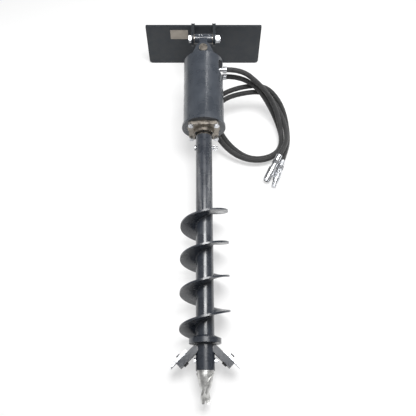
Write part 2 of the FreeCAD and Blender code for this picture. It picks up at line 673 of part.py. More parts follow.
def auger_flight():
    """Rectangle swept round a helix as far as the cutter's collar."""
    length = CUTTER_TOP - FACE_GAP - FLIGHT_T - FLIGHT_TOP
    inner = TUBE_R + SEAT
    path = Part.Wire(Part.makeHelix(FLIGHT_PITCH, length, inner).Edges)
    corners = [V(inner, 0, 0), V(FLIGHT_R, 0, 0), V(FLIGHT_R, 0, FLIGHT_T), V(inner, 0, FLIGHT_T)]
    section = Part.makePolygon(corners + [corners[0]])
    flight = path.makePipeShell([section], True, True)
    flight.rotate(V(0, 0, 0), Z, 360.0 * (FLIGHT_TOP - FLIGHT_AT_X) / FLIGHT_PITCH)
    flight.translate(Z * FLIGHT_TOP)
    return flight


def cross_pin():
    start = V(-TUBE_R - CROSS_PIN_HEAD_T, 0, CROSS_PIN_S)
    length = 2 * TUBE_R + CROSS_PIN_HEAD_T + CROSS_PIN_TAIL
    pin = fuse(rod(CROSS_PIN_R, length, start, X), rod(CROSS_PIN_HEAD_R, CROSS_PIN_HEAD_T, start, X))
    return pin.cut(lynch_hole(LYNCH_R + SEAT))


def lynch_x():
    return TUBE_R + CROSS_PIN_TAIL / 2


def lynch_hole(radius):
    return rod(radius, 30.0, V(lynch_x(), -15.0, CROSS_PIN_S), Y)


def lynch_pin():
    """Small pin with its sprung ring standing clear of the tube."""
    stem = rod(LYNCH_R, 30.0, V(lynch_x(), -15.0, CROSS_PIN_S), Y)
    rise = math.sqrt(LYNCH_RING_R ** 2 - LYNCH_RING_OUT ** 2)
    centre = V(lynch_x() + LYNCH_RING_OUT, 15.0 + LYNCH_WIRE_R, CROSS_PIN_S + rise)
    ring = Part.makeTorus(LYNCH_RING_R, LYNCH_WIRE_R, centre, Y)
    return fuse(stem, ring)


def cutter_collar():
    return turned([(TUBE_R + SEAT, CUTTER_TOP), (CUTTER_R, CUTTER_RIM_TOP), (CUTTER_R, CUTTER_END),
                   (TUBE_R + SEAT, CUTTER_END)])


def cutter_frame(side):
    """Placement of a cutter: its +X runs out and down the arm, +Z to the tooth's side."""
    lean = FreeCAD.Rotation(Y, -ARM_ANGLE)
    turn = FreeCAD.Rotation(Z, 0 if side > 0 else 180)
    middle = V(0, 0, CUTTER_END - 16.0)
    return FreeCAD.Placement(middle, turn.multiply(lean))


def tooth_holder(side):
    bar = Part.makeBox(ARM_TIP - ARM_ROOT, ARM_W, ARM_T, V(ARM_ROOT, -ARM_W / 2, -ARM_T / 2))
    bar = bar.cut(rod(TOOTH_BOLT_R + SEAT, ARM_T, V(tooth_bolt_x(), 0, -ARM_T / 2), Z))
    bar.Placement = cutter_frame(side)
    return bar.cut(cylinder(CUTTER_R + SEAT, CUTTER_TOP - 40.0, CUTTER_END)).cut(
        cylinder(TUBE_R + SEAT, CUTTER_TOP - 40.0, TUBE_END))


def tooth_bolt_x():
    return ARM_TIP - 26.0


def tooth(side):
    """Flat tooth with a chisel end, bolted on the arm's outer side."""
    back, reach = ARM_TIP - TOOTH_BACK, ARM_TIP + TOOTH_REACH
    outline = [V(back, 0, 0), V(reach, 0, 0), V(reach - 4.0, 0, -3.0),
               V(reach - TOOTH_CHISEL, 0, -TOOTH_T), V(back, 0, -TOOTH_T)]
    body = plate_outline(outline, TOOTH_W, Y)
    body.translate(V(0, -TOOTH_W / 2, -ARM_T / 2))
    body = body.cut(rod(TOOTH_BOLT_R + SEAT, TOOTH_T, V(tooth_bolt_x(), 0, -ARM_T / 2 - TOOTH_T), Z))
    body.Placement = cutter_frame(side)
    return body


def tooth_bolts():
    made = []
    for side in (1, -1):
        start = V(tooth_bolt_x(), 0, -ARM_T / 2 - TOOTH_T)
        shank = rod(TOOTH_BOLT_R, TOOTH_T + ARM_T, start, Z)
        head = hexagon(TOOTH_BOLT_AF, TOOTH_BOLT_H, start + Z * (TOOTH_T + ARM_T), Z)
        nut = rod(TOOTH_BOLT_AF / 2, TOOTH_BOLT_H, start, -Z)
        bolt = fuse(shank, head, nut)
        bolt.Placement = cutter_frame(side)
        made.append(bolt)
    return Part.makeCompound(made)


def pilot_bit():
    """Cast bit: shank, tulip body, twisted two-edged blade and a fishtail end."""
    shank = cylinder(TUBE_BORE_R - SEAT, TUBE_END - BIT_SHANK, TUBE_END)
    collar = cylinder(BIT_COLLAR_R, TUBE_END, TUBE_END + BIT_COLLAR_T)
    tulip = bit_tulip()
    blade = bit_blade()
    body = fuse(shank, collar, tulip, blade)
    body = body.cut(rod(BIT_BOLT_R + SEAT, 2 * TUBE_R, V(-TUBE_R, 0, BIT_BOLT_S), X))
    return body


def bit_tulip():
    start = TUBE_END + BIT_COLLAR_T
    end = start + 0.68 * BIT_LENGTH
    profile = Part.Arc(V(BIT_COLLAR_R - 3.0, 0, start), V(0.82 * BIT_COLLAR_R, 0, start + 0.28 * BIT_LENGTH),
                       V(7.0, 0, end))
    edges = [profile.toShape(), Part.makeLine(V(7.0, 0, end), V(0, 0, end)),
             Part.makeLine(V(0, 0, end), V(0, 0, start)),
             Part.makeLine(V(0, 0, start), V(BIT_COLLAR_R - 3.0, 0, start))]
    return Part.Face(Part.Wire(edges)).revolve(V(0, 0, 0), Z, 360)


def bit_blade():
    """Blade lofted through turned rectangles, widest under the collar."""
    start = TUBE_END + BIT_COLLAR_T
    sections = []
    for k in range(6):
        part = k / 5.0
        half = 38.0 - 24.0 * part ** 1.3
        turn = FreeCAD.Rotation(Z, 20.0 + BIT_TWIST * part)
        height = start + 4.0 + part * (BIT_LENGTH - 4.0 - BIT_COLLAR_T)
        corners = [V(-half, -BIT_BLADE_T / 2, 0), V(half, -BIT_BLADE_T / 2, 0),
                   V(half, BIT_BLADE_T / 2, 0), V(-half, BIT_BLADE_T / 2, 0)]
        corners = [turn.multVec(c) + Z * height for c in corners]
        sections.append(Part.makePolygon(corners + [corners[0]]))
    blade = Part.makeLoft(sections, True, False)
    tip = start + BIT_LENGTH - BIT_COLLAR_T
    notch = plate_outline([V(-BIT_NOTCH_W / 2, -30, tip), V(0, -30, tip - BIT_NOTCH_H),
                           V(BIT_NOTCH_W / 2, -30, tip)], 60.0, Y)
    notch.rotate(V(0, 0, 0), Z, 20.0 + BIT_TWIST)
    return blade.cut(notch)


def bit_bolt():
    half = TUBE_R
    shank = rod(BIT_BOLT_R, 2 * half + BIT_NUT_H + 4.0, V(-half, 0, BIT_BOLT_S), X)
    head = hexagon(BIT_BOLT_AF, BIT_BOLT_H, V(-half, 0, BIT_BOLT_S), -X)
    return fuse(shank, head)


def bit_nut():
    start = V(TUBE_R, 0, BIT_BOLT_S)
    return hexagon(BIT_BOLT_AF, BIT_NUT_H, start, X).cut(rod(BIT_BOLT_R, BIT_NUT_H, start, X))


# ---- hoses and couplers (row frame)

def rounded_path(points):
    """Straight runs joined by tangent arcs, each arc as large as its two runs allow."""
    edges, radii = [], []
    last = points[0]
    for before, at, after in zip(points, points[1:], points[2:]):
        back, ahead = before - at, after - at
        turn = math.pi - back.getAngle(ahead)
        reach = HOSE_ARC_SHARE * min(back.Length, ahead.Length)
        radius = reach / math.tan(turn / 2)
        radii.append(radius)
        back.normalize()
        ahead.normalize()
        enter, leave = at + back * reach, at + ahead * reach
        inward = back + ahead
        inward.normalize()
        middle = at + inward * (radius / math.cos(turn / 2) - radius)
        edges.append(Part.LineSegment(last, enter).toShape())
        edges.append(Part.Arc(enter, middle, leave).toShape())
        last = leave
    edges.append(Part.LineSegment(last, points[-1]).toShape())
    return Part.Wire(edges), radii


def hose_points(y, route, end_at, end_towards):
    """Route from the ferrule at the motor to the ferrule of the coupler."""
    placement = in_drive()
    out = FERRULE_START + FERRULE_L
    first = [placement.multVec(V(out, y, PORT_S)), placement.multVec(V(out + HOSE_LEAD, y, PORT_S))]
    into = V(*end_towards) - V(*end_at)
    into.normalize()
    return first + [V(*p) for p in route] + [V(*end_at) - into * COUPLER_LEAD, V(*end_at)]


def hose(name, points):
    path, radii = rounded_path(points)
    start, tangent = points[0], points[1] - points[0]
    circle = Part.Wire(Part.Circle(start, tangent, HOSE_R).toShape())
    body = path.makePipeShell([circle], True, False)
    expected = math.pi * HOSE_R ** 2 * path.Length
    print(name, "length %.0f" % path.Length, "volume/expected %.4f" % (body.Volume / expected),
          "radii", [round(r) for r in radii])
    return body


def hose_nodes():
    upper, lower = port_heights()
    a = hose_points(upper, HOSE_A_ROUTE, MALE_AT, MALE_END)
    b = hose_points(lower, HOSE_B_ROUTE, FEMALE_AT, FEMALE_END)
    return {"hose_a": hose("hose_a", a), "hose_b": hose("hose_b", b)}


def along(start, end):
    """Placement with +Z from start towards end."""
    return FreeCAD.Placement(V(*start), FreeCAD.Rotation(Z, V(*end) - V(*start)))


def coupler_ferrules():
    made = []
    for start, end in ((MALE_AT, MALE_END), (FEMALE_AT, FEMALE_END)):
        body = cylinder(FERRULE_R, 0, COUPLER_FERRULE_L)
        rims = [e for e in body.Edges if e.Curve.TypeId == "Part::GeomCircle"]
        body = body.makeFillet(2.0, rims)
        made.append(placed(body, along(start, end)))
    return Part.makeCompound(made)


def coupler_socket():
    """Female half: hexagon, body with a shoulder for the sleeve, and the plug's bore."""
    hexagonal = hexagon(COUPLER_HEX_AF, COUPLER_HEX_T, V(0, 0, COUPLER_FERRULE_L), Z)
    body = cylinder(SOCKET_R, COUPLER_FERRULE_L, SOCKET_L)
    body = fuse(hexagonal, body).cut(cylinder(SOCKET_BORE_R, SOCKET_L - SOCKET_BORE_L, SOCKET_L))
    return placed(body, along(FEMALE_AT, FEMALE_END))


def coupler_sleeve():
    end = SOCKET_L - SLEEVE_LIP
    body = tube(SLEEVE_R, SOCKET_R + RUNNING, end - SLEEVE_L, end)
    rims = [e for e in body.Edges if e.Curve.TypeId == "Part::GeomCircle" and e.Curve.Radius > SOCKET_R + 1]
    return placed(body.makeFillet(1.5, rims), along(FEMALE_AT, FEMALE_END))


def coupler_plug():
    """Male half: hexagon, a belly and a plain nose."""
    start = COUPLER_FERRULE_L + COUPLER_HEX_T
    hexagonal = hexagon(COUPLER_HEX_AF, COUPLER_HEX_T, V(0, 0, COUPLER_FERRULE_L), Z)
    body = turned([(0, start), (MALE_WAIST_R, start), (MALE_BELLY_R, start + 22), (MALE_BELLY_R, start + 54),
                   (MALE_NOSE_R, start + 78), (MALE_NOSE_R, MALE_L), (0, MALE_L)])
    return placed(fuse(hexagonal, body), along(MALE_AT, MALE_END))


def coupler_nodes():
    return {"coupler_ferrules": coupler_ferrules(), "coupler_socket": coupler_socket(),
            "coupler_sleeve": coupler_sleeve(), "coupler_plug": coupler_plug()}


# ---- placing and writing

def in_hitch():
    """Drive frame before the swing: +Z laid LAY_ANGLE below -Y, +Y away from the ground."""
    lean = math.radians(LAY_ANGLE)
    forward = V(0, -math.cos(lean), -math.sin(lean))
    up = V(0, -math.sin(lean), math.cos(lean))
    return FreeCAD.Placement(HITCH_AT, FreeCAD.Rotation(X, up, forward, "ZXY"))


def in_drive():
    swing = FreeCAD.Placement(V(0, 0, 0), FreeCAD.Rotation(Y, REST_SWING), V(0, 0, LINK_L))
    return in_hitch().multiply(swing)


def placed(shape, placement):
    moved = shape.copy()
    moved.Placement = placement.multiply(moved.Placement)
    return moved


def frame_nodes():
    return {"mount_plate": mount_plate(), "hitch_ear_left": hitch_ear(-1), "hitch_ear_right": hitch_ear(1),
            "pitch_bolt": pitch_bolt(), "pitch_nut": pitch_nut()}


def link_nodes():
    return {"link_casting": link(), "link_bush": link_bush(), "thrust_washers": thrust_washers(),
            "grease_nipples": grease_nipples()}


def drive_nodes():
    return {"hanger_ear_upper": hanger_ear(1), "hanger_ear_lower": hanger_ear(-1), "swing_pin": swing_pin(),
            "swing_collar": swing_collar(), "swing_collar_pin": swing_collar_pin(), "hood_cap": hood_cap(),
            "hood_tube": hood_tube(), "base_ring": base_ring(), "motor_cover": motor_cover(),
            "valve_housing": valve_housing(), "rotor_ring": rotor_ring(), "front_housing": front_housing(),
            "motor_bolts": motor_bolts(), "port_adapters": port_adapters(),
            "drive_ferrules": drive_ferrules(), "gearbox_adapter": gearbox_adapter(),
            "ring_gear": ring_gear(), "bearing_housing": bearing_housing(),
            "output_bearings": output_bearings(), "bearing_spacer": bearing_spacer(),
            "flange_bolts": flange_bolts(), "seal_cap": seal_cap(), "cap_bolts": cap_bolts(),
            "shaft_seal": shaft_seal()}


def gear_nodes():
    nodes = {"sun_shaft": sun_shaft(), "planet_pins": planet_pins(), "carrier_shaft": carrier_shaft()}
    for k in range(PLANETS):
        nodes["planet_gear_%d" % (k + 1)] = planet_gear(k)
    return nodes


def auger_nodes():
    return {"auger_tube": auger_tube(), "auger_flight": auger_flight(), "cross_pin": cross_pin(),
            "lynch_pin": lynch_pin(), "cutter_collar": cutter_collar(),
            "tooth_holder_right": tooth_holder(1), "tooth_holder_left": tooth_holder(-1),
            "tooth_right": tooth(1), "tooth_left": tooth(-1), "tooth_bolts": tooth_bolts(),
            "pilot_bit": pilot_bit(), "bit_bolt": bit_bolt(), "bit_nut": bit_nut()}


def main():
    os.makedirs("parts", exist_ok=True)
    nodes = dict(frame_nodes())
    for name, shape in link_nodes().items():
        nodes[name] = placed(shape, in_hitch())
    for group in (drive_nodes(), gear_nodes(), auger_nodes()):
        for name, shape in group.items():
            nodes[name] = placed(shape, in_drive())
    nodes.update(hose_nodes())
    nodes.update(coupler_nodes())
    for name, shape in nodes.items():
        if not shape.isValid():
            print("invalid:", name)
        shape.exportStep("parts/%s.step" % name)
    print(len(nodes), "nodes")


main()
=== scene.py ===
# %% [markdown]
# # Earth auger drive
# The real object is a hydraulic motor and planetary gearbox under a steel hood, hung from a
# plate by two pins, with a 213 mm auger on its output shaft and two hoses with couplers.
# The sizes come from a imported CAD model, so this script only adds looks: finishes, weld
# beads, the hoses' woven sleeves and small trim. Everything is in metres in the CAD frame.

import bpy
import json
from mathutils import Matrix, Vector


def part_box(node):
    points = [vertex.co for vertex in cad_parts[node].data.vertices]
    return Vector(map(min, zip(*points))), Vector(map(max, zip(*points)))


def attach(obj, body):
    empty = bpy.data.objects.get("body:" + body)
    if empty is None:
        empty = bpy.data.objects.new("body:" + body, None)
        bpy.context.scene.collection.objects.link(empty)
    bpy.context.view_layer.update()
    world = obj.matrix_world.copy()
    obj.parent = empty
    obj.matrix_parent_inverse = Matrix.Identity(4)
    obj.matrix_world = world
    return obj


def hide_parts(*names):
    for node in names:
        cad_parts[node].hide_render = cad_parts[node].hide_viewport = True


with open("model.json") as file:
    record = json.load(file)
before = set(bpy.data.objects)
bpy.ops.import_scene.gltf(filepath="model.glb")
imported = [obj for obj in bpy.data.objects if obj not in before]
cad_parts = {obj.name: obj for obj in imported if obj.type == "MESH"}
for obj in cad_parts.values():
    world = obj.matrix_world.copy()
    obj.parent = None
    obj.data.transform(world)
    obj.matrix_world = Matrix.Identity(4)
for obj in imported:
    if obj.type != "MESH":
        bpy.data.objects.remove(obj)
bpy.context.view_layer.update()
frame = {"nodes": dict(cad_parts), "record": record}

import json
import math
import bpy
import bmesh
from mathutils import Matrix, Vector

GROUND = -0.1325
LAY_ANGLE = math.radians(6.9)       # the auger's axis dips below the horizontal
REST_SWING = math.radians(0.5)
HITCH = Vector((0, -0.132, 0.1565))
LINK_LENGTH = 0.098

# %% [markdown]
# ## The drive's own axes
# The drive leans towards the ground and swings half a degree. Building every piece upright
# and then placing it with one matrix is easier than working in leaning coordinates: here
# +Z runs down the auger, +Y points away from the ground and +X is the frame's own X.

# %% A matrix from drive axes to the frame
forward = Vector((0, -math.cos(LAY_ANGLE), -math.sin(LAY_ANGLE)))
away = Vector((0, -math.sin(LAY_ANGLE), math.cos(LAY_ANGLE)))
hitch_axes = Matrix((Vector((1, 0, 0)), away, forward)).transposed().to_4x4()
pin = Matrix.Translation((0, 0, LINK_LENGTH))
IN_HITCH = Matrix.Translation(HITCH) @ hitch_axes
IN_DRIVE = IN_HITCH @ pin @ Matrix.Rotation(REST_SWING, 4, "Y") @ pin.inverted()


def drive_point(x, y, s):
    return IN_DRIVE @ Vector((x, y, s))


print("auger tip at", [round(c, 3) for c in drive_point(0, 0, 1.77)])

# %% [markdown]
# ## Camera
# The view looks down on the lying drive from over the auger's end, with a normal lens. The
# camera comes first, with the hoses, whose room was judged by what it sees.

# %% Camera
camera_data = bpy.data.cameras.new("camera")
camera_data.sensor_width = 36.0
camera_data.lens = 44.39
camera = bpy.data.objects.new("camera", camera_data)
camera.location = (0.024, -2.191, 2.054)
camera.rotation_euler = (math.radians(29.1), 0, 0)
camera_data.clip_end = 50
bpy.context.scene.collection.objects.link(camera)
bpy.context.scene.camera = camera
print("camera tilt", round(math.degrees(camera.rotation_euler.x), 1))

# %% [markdown]
# ## Hose routes
# Each hose leaves the motor's port, drops to the ground, turns in a loop that rises under
# the hood and stands clear of the ground there, and comes down to a quick coupler. A NURBS
# curve of order 3 goes near its control points in one smooth line, as a stiff hose does, so
# a few dozen points are enough.

# %% Hose centre lines
HOSE_RADIUS = 0.0128
PORT_S, PORT_PITCH, FERRULE_END, HOSE_LEAD = 0.216, 0.056, 0.116, 0.035
COUPLER_LEAD = 0.038
PLUG_AT, PLUG_NOSE = Vector((0.401, -0.716, -0.100)), Vector((0.349, -0.862, -0.118))
SOCKET_AT, SOCKET_MOUTH = Vector((0.384, -0.705, -0.068)), Vector((0.311, -0.833, -0.112))
CURVE_STEPS = 6                     # points on each stretch of the smooth line
# Control points in millimetres, from the ports to the couplers.
ROUTE_A = (
    (212, -354, 142), (260, -368, 106), (309, -389, 64), (349, -414, 18), (380, -453, -32),
    (397, -503, -72), (405, -558, -90), (402, -615, -92), (386, -663, -93), (352, -700, -93),
    (309, -718, -93), (262, -723, -92), (214, -716, -89), (168, -700, -80), (125, -672, -67),
    (88, -634, -50), (58, -588, -34), (38, -536, -20), (31, -484, -8), (42, -436, 4),
    (76, -400, 16), (124, -378, 32), (180, -360, 39), (236, -350, 43), (290, -343, 38),
    (340, -348, 18), (382, -368, -20), (414, -403, -56), (434, -448, -92), (442, -503, -115),
    (442, -560, -118), (436, -606, -112), (426, -643, -100))
ROUTE_B = (
    (212, -350, 90), (262, -366, 64), (304, -391, 28), (338, -414, -20), (370, -445, -68),
    (395, -486, -106), (408, -538, -118), (406, -593, -118), (389, -641, -118), (354, -673, -118),
    (310, -690, -118), (264, -694, -118), (218, -684, -114), (174, -661, -102), (133, -629, -84),
    (98, -588, -64), (72, -541, -46), (60, -497, -32), (64, -460, -18), (82, -430, -4),
    (111, -409, 10), (152, -392, 16), (199, -379, 18), (248, -369, 18), (298, -365, 15),
    (342, -374, -8), (377, -401, -36), (402, -441, -62), (422, -490, -80), (430, -540, -84),
    (428, -588, -74), (420, -632, -60))


def hose_route(port_y, route, end, nose):
    out = [drive_point(x, port_y, PORT_S) for x in (FERRULE_END, FERRULE_END + HOSE_LEAD)]
    into = (nose - end).normalized() * COUPLER_LEAD
    return out + [Vector(p) / 1000 for p in route] + [end - into, end]


def smooth_curve(name, points):
    """One open NURBS spline that passes near the points."""
    data = bpy.data.curves.new(name, "CURVE")
    data.dimensions = "3D"
    data.resolution_u = CURVE_STEPS
    spline = data.splines.new("NURBS")
    spline.points.add(len(points) - 1)
    for slot, p in zip(spline.points, points):
        slot.co = (*p, 1)
    spline.order_u = 3
    spline.use_endpoint_u = True
    curve = bpy.data.objects.new(name, data)
    bpy.context.scene.collection.objects.link(curve)
    return curve


routes = {"hose_a": hose_route(PORT_PITCH / 2, ROUTE_A, PLUG_AT, PLUG_NOSE),
          "hose_b": hose_route(-PORT_PITCH / 2, ROUTE_B, SOCKET_AT, SOCKET_MOUTH)}


def curve_points(curve):
    """Points along the curve's smooth line, read from its mesh."""
    bpy.context.view_layer.update()
    evaluated = curve.evaluated_get(bpy.context.evaluated_depsgraph_get())
    line = bpy.data.meshes.new_from_object(evaluated)
    points = [v.co.copy() for v in line.vertices]
    bpy.data.meshes.remove(line)
    return points


def line_length(points):
    return sum((b - a).length for a, b in zip(points, points[1:]))


centre_lines = {}
for name, points in routes.items():
    guide = smooth_curve(name + ".guide", points)
    centre_lines[name] = curve_points(guide)
    bpy.data.objects.remove(guide)
    print(name, "length", round(line_length(centre_lines[name]), 3))

# %% Hoses as tubes that follow the smooth lines
SIDES = 24
WRINKLE = 0.0007                    # the sleeve is creased by this much
FOLD_RATE, FOLD_SWAY, FOLD_TWIST = 390, 2.2, 21     # short folds, which lean as they go round
PATCH_RATE, PATCH_TURNS = 167, 3                    # and fade in and out in slower patches
FINE_STEPS = 3


def hose_tube(name, line):
    """Creased tube along the line, with a map of length and turn for the weave."""
    shape = bmesh.new()
    side = Vector((0, 0, 1))
    rings, travelled, far = [], [], 0.0
    for k, point in enumerate(line):
        tangent = (line[min(k + 1, len(line) - 1)] - line[max(k - 1, 0)]).normalized()
        side = (side - tangent * side.dot(tangent)).normalized()
        up = tangent.cross(side)
        far += (point - line[k - 1]).length if k else 0.0
        travelled.append(far)
        ring = []
        for n in range(SIDES):
            a = 2 * math.pi * n / SIDES
            crease = (math.sin(far * FOLD_RATE + FOLD_SWAY * math.sin(a + far * FOLD_TWIST))
                      * math.sin(far * PATCH_RATE + a * PATCH_TURNS))
            r = HOSE_RADIUS - WRINKLE * (0.5 - 0.5 * crease)
            ring.append(shape.verts.new(point + side * (r * math.cos(a)) + up * (r * math.sin(a))))
        rings.append(ring)
    layer = shape.loops.layers.uv.new("weave")
    for k in range(len(rings) - 1):
        for n in range(SIDES):
            m = (n + 1) % SIDES
            face = shape.faces.new((rings[k][n], rings[k + 1][n], rings[k + 1][m], rings[k][m]))
            face.smooth = True
            for loop, uv in zip(face.loops, ((k, n), (k + 1, n), (k + 1, n + 1), (k, n + 1))):
                loop[layer].uv = (travelled[uv[0]] / travelled[-1], uv[1] / SIDES)
    for ring in (rings[0], rings[-1]):
        shape.faces.new(ring)
    bmesh.ops.recalc_face_normals(shape, faces=shape.faces)
    mesh = bpy.data.meshes.new(name)
    shape.to_mesh(mesh)
    shape.free()
    tube = bpy.data.objects.new(name, mesh)
    bpy.context.scene.collection.objects.link(tube)
    return tube


def finer(line):
    """More points on each short stretch of the line, so that the creases show."""
    fine = [a.lerp(b, k / FINE_STEPS) for a, b in zip(line, line[1:]) for k in range(FINE_STEPS)]
    return fine + [line[-1]]


hoses = {}
for name in routes:
    hoses[name] = hose_tube(name + "_sleeve", finer(centre_lines[name]))
    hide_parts(name)
    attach(hoses[name], "drive")
nodes = frame["nodes"]

# %% [markdown]
# ## Shared effects
# Two effects turn up in many finishes: a slow change of tone, and wear on the edges, which with a
# bright bare colour also paints highlights on the edges. Each is a shader node group with its own
# inputs, made once and placed in each material with its own values. Only colours and masks leave a
# group; the shader stays in the material.

# %% Helpers that wire nodes
MIX_A, MIX_B, MIX_RESULT = 6, 7, 2      # the colour sockets of a Mix node


def node(tree, kind, **inputs):
    made = tree.nodes.new(kind)
    for key, value in inputs.items():
        if key in made.inputs:
            made.inputs[key].default_value = value
        else:
            setattr(made, key, value)
    return made


def ramp(tree, source, low, high, low_value=0.0, high_value=1.0):
    """A smooth step of the source between low and high."""
    made = tree.nodes.new("ShaderNodeMapRange")
    made.interpolation_type = "SMOOTHSTEP"
    for key, value in (("From Min", low), ("From Max", high),
                       ("To Min", low_value), ("To Max", high_value)):
        made.inputs[key].default_value = value
    tree.links.new(source, made.inputs["Value"])
    return made.outputs["Result"]


def new_group(name, inputs, outputs):
    tree = bpy.data.node_groups.new(name, "ShaderNodeTree")
    for label, kind, value in inputs:
        made = tree.interface.new_socket(label, in_out="INPUT", socket_type=kind)
        made.default_value = value
    for label, kind in outputs:
        tree.interface.new_socket(label, in_out="OUTPUT", socket_type=kind)
    return tree, tree.nodes.new("NodeGroupInput"), tree.nodes.new("NodeGroupOutput")


# %% Cloudy tone: paint and metal are never one flat colour
cloudy, enter, leave = new_group(
    "cloudy_tone", [("Colour", "NodeSocketColor", (0.1, 0.1, 0.1, 1)),
                    ("Scale", "NodeSocketFloat", 30.0), ("Amount", "NodeSocketFloat", 0.2)],
    [("Colour", "NodeSocketColor"), ("Clouds", "NodeSocketFloat")])
place = node(cloudy, "ShaderNodeTexCoord")
noise = node(cloudy, "ShaderNodeTexNoise", Detail=4.0, Roughness=0.6)
cloudy.links.new(place.outputs["Object"], noise.inputs["Vector"])
cloudy.links.new(enter.outputs["Scale"], noise.inputs["Scale"])
clouds = ramp(cloudy, noise.outputs["Fac"], low=0.3, high=0.7)
swing = node(cloudy, "ShaderNodeMath", operation="MULTIPLY_ADD")
cloudy.links.new(clouds, swing.inputs[0])
cloudy.links.new(enter.outputs["Amount"], swing.inputs[1])
swing.inputs[2].default_value = 1.0
bright = node(cloudy, "ShaderNodeVectorMath", operation="SCALE")
cloudy.links.new(enter.outputs["Colour"], bright.inputs[0])
cloudy.links.new(swing.outputs[0], bright.inputs["Scale"])
cloudy.links.new(bright.outputs[0], leave.inputs["Colour"])
cloudy.links.new(clouds, leave.inputs["Clouds"])
print("group", cloudy.name)

# %% Edge wear and painted highlights: paint is thin on sharp edges and rubs off there; with a bright bare colour the same mask paints highlights on the edges
wear_and_glint, enter, leave = new_group(
    "edge_wear_and_glint", [("Colour", "NodeSocketColor", (0.1, 0.1, 0.1, 1)),
                  ("Bare", "NodeSocketColor", (0.4, 0.4, 0.4, 1)),
                  ("Width", "NodeSocketFloat", 0.002), ("Amount", "NodeSocketFloat", 0.5)],
    [("Colour", "NodeSocketColor"), ("Mask", "NodeSocketFloat")])
geometry = node(wear_and_glint, "ShaderNodeNewGeometry")
rounded = node(wear_and_glint, "ShaderNodeBevel", samples=6)
wear_and_glint.links.new(enter.outputs["Width"], rounded.inputs["Radius"])
facing = node(wear_and_glint, "ShaderNodeVectorMath", operation="DOT_PRODUCT")
wear_and_glint.links.new(geometry.outputs["Normal"], facing.inputs[0])
wear_and_glint.links.new(rounded.outputs["Normal"], facing.inputs[1])
edge = ramp(wear_and_glint, facing.outputs["Value"], low=0.97, high=0.86)
place = node(wear_and_glint, "ShaderNodeTexCoord")
patches = node(wear_and_glint, "ShaderNodeTexNoise", Scale=90.0, Detail=5.0)
wear_and_glint.links.new(place.outputs["Object"], patches.inputs["Vector"])
broken = ramp(wear_and_glint, patches.outputs["Fac"], low=0.45, high=0.62)
both = node(wear_and_glint, "ShaderNodeMath", operation="MULTIPLY")
wear_and_glint.links.new(edge, both.inputs[0])
wear_and_glint.links.new(broken, both.inputs[1])
mask = node(wear_and_glint, "ShaderNodeMath", operation="MULTIPLY")
wear_and_glint.links.new(both.outputs[0], mask.inputs[0])
wear_and_glint.links.new(enter.outputs["Amount"], mask.inputs[1])
mixed = node(wear_and_glint, "ShaderNodeMix", data_type="RGBA")
wear_and_glint.links.new(mask.outputs[0], mixed.inputs["Factor"])
wear_and_glint.links.new(enter.outputs["Colour"], mixed.inputs[MIX_A])
wear_and_glint.links.new(enter.outputs["Bare"], mixed.inputs[MIX_B])
wear_and_glint.links.new(mixed.outputs[MIX_RESULT], leave.inputs["Colour"])
wear_and_glint.links.new(mask.outputs[0], leave.inputs["Mask"])
print("group", wear_and_glint.name)


# %% Materials share one recipe with different values
ROUGH_SWING = 0.08                      # how far the clouds move the roughness
COAT_ROUGHNESS, GRAIN_DEPTH = 0.18, 0.0004
WEAR_AND_GLINT_METAL = 0.9


def add_group(tree, group, **values):
    made = tree.nodes.new("ShaderNodeGroup")
    made.node_tree = group
    for key, value in values.items():
        made.inputs[key].default_value = value
    return made


def finish_of(name, colour, rough, metal=0.0, coat=0.0, clouds=0.2, cloud_scale=30.0,
              wear_and_glint_amount=0.0, bare_and_glint=(0.35, 0.34, 0.33), grain=0.0, grain_scale=900.0,
              stretch=(1, 1, 1)):
    """Principled material: cloudy tone, worn edges that a bright bare colour also makes painted
    highlights, uneven gloss and a fine grain.
    """
    material = bpy.data.materials.new(name)
    material.use_nodes = True
    tree = material.node_tree
    shader = tree.nodes["Principled BSDF"]
    tone = add_group(tree, cloudy, Colour=(*colour, 1), Scale=cloud_scale, Amount=clouds)
    colour_out = tone.outputs["Colour"]
    # Worn edges; where the bare colour is bright, these edges are painted highlights as well.
    if wear_and_glint_amount:
        worn_and_glint = add_group(tree, wear_and_glint, Bare=(*bare_and_glint, 1), Amount=wear_and_glint_amount)
        tree.links.new(colour_out, worn_and_glint.inputs["Colour"])
        colour_out = worn_and_glint.outputs["Colour"]
        metal_out = ramp(tree, worn_and_glint.outputs["Mask"], 0.0, 1.0, metal, WEAR_AND_GLINT_METAL)
        tree.links.new(metal_out, shader.inputs["Metallic"])
    else:
        shader.inputs["Metallic"].default_value = metal
    tree.links.new(colour_out, shader.inputs["Base Color"])
    rough_out = ramp(tree, tone.outputs["Clouds"], 0.0, 1.0, rough - ROUGH_SWING, rough + ROUGH_SWING)
    tree.links.new(rough_out, shader.inputs["Roughness"])
    shader.inputs["Coat Weight"].default_value = coat
    shader.inputs["Coat Roughness"].default_value = COAT_ROUGHNESS
    if grain:
        place = node(tree, "ShaderNodeTexCoord")
        shape = node(tree, "ShaderNodeMapping", Scale=stretch)
        fine = node(tree, "ShaderNodeTexNoise", Scale=grain_scale, Detail=3.0)
        bump = node(tree, "ShaderNodeBump", Strength=grain, Distance=GRAIN_DEPTH)
        tree.links.new(place.outputs["Object"], shape.inputs["Vector"])
        tree.links.new(shape.outputs["Vector"], fine.inputs["Vector"])
        tree.links.new(fine.outputs["Fac"], bump.inputs["Height"])
        tree.links.new(bump.outputs["Normal"], shader.inputs["Normal"])
    return material


